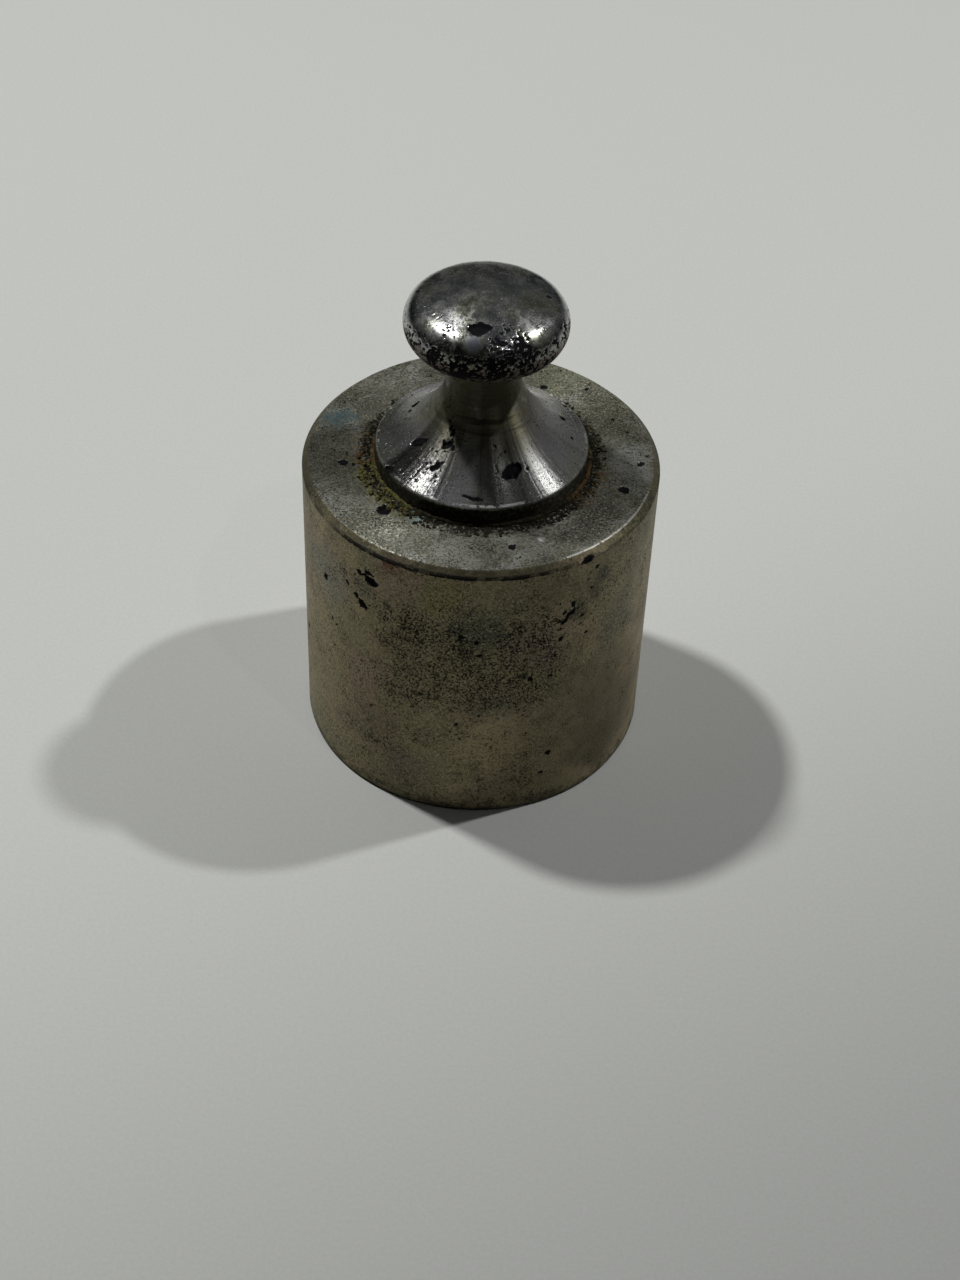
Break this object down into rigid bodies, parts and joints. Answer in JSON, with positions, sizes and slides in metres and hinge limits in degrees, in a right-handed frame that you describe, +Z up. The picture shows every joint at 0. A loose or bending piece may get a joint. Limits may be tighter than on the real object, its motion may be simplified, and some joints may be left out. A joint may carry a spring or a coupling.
{
  "type": "calibration weight",
  "caption": "Cylindrical knob weight for a balance: a turned body with an adjusting hole, closed by a screwed-in lifting knob with a domed head.",
  "frame": {"origin": "centre of the flat base, on the surface that the weight stands on", "axes": "+Z up along the turning axis, from the base to the knob's head; +X and +Y lie in the base, and -Y faces the side that is shown in front"},
  "size_m": [0.0425, 0.0424, 0.0628],
  "materials": {
    "body_plate": "nickel plate over brass, dull and stained warm grey-brown",
    "knob_plate": "nickel plate over brass, worn bright and pitted",
    "lead": "dull grey lead"
  },
  "bodies": {
    "weight_body": {"body": "body_plate", "adjusting_shot": "lead"},
    "knob": {"knob": "knob_plate"}
  },
  "joints": [
    {"name": "knob_unscrew", "type": "slide", "parent": "weight_body", "child": "knob", "axis": [0, 0, 1], "range_m": [0, 0.011]}
  ]
}
